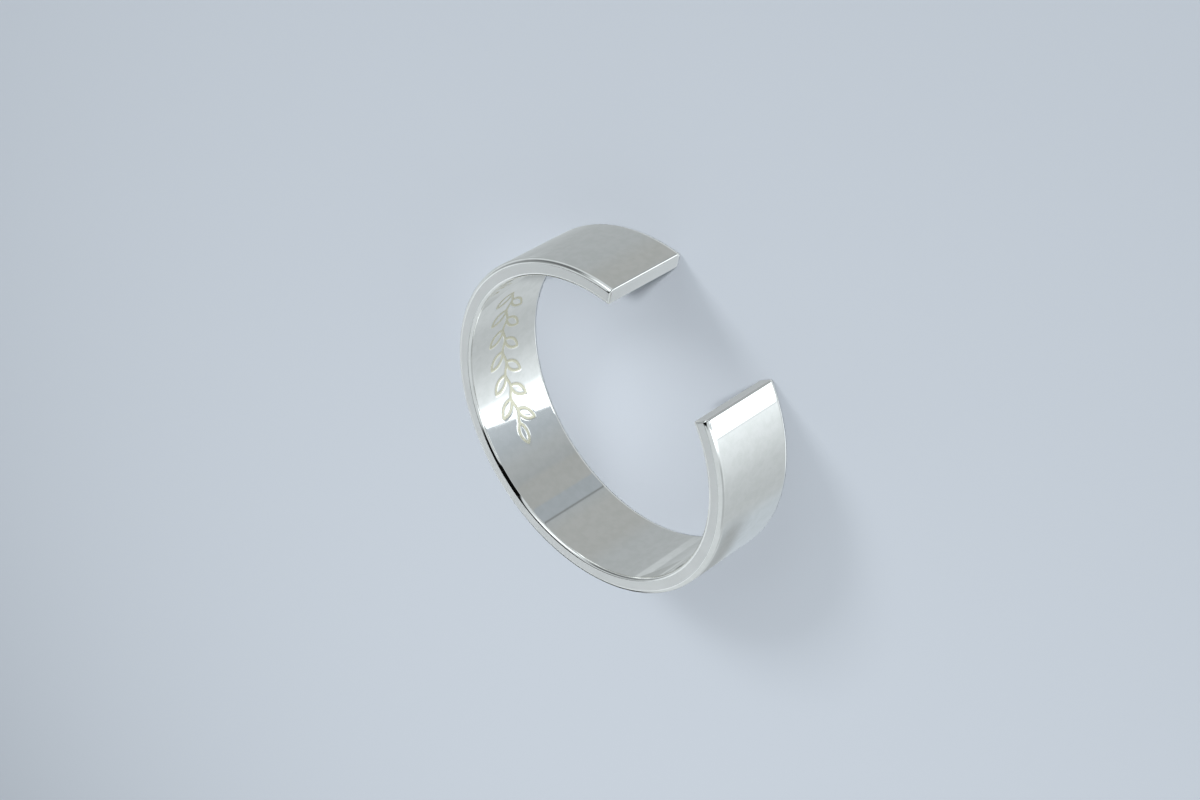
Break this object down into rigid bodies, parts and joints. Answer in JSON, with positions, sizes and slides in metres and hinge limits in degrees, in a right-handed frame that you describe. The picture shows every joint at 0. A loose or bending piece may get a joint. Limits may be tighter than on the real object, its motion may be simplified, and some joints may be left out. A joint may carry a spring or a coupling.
{
  "type": "open band ring",
  "caption": "Flat-walled metal band ring with square-cut ends and a gap between them, so that it can be opened or closed a little to fit the finger.",
  "frame": {"origin": "centre of the finger hole, at the middle of the band's width", "axes": "+Z along the finger, up when the ring lies on its side; the gap between the ends faces -Y; +X to the right"},
  "size_m": [0.0188, 0.018, 0.005],
  "materials": {
    "silver": "mirror-polished silver on the inner and outer walls, fine satin on the two sides"
  },
  "bodies": {
    "root": {"band": "silver"}
  },
  "joints": []
}
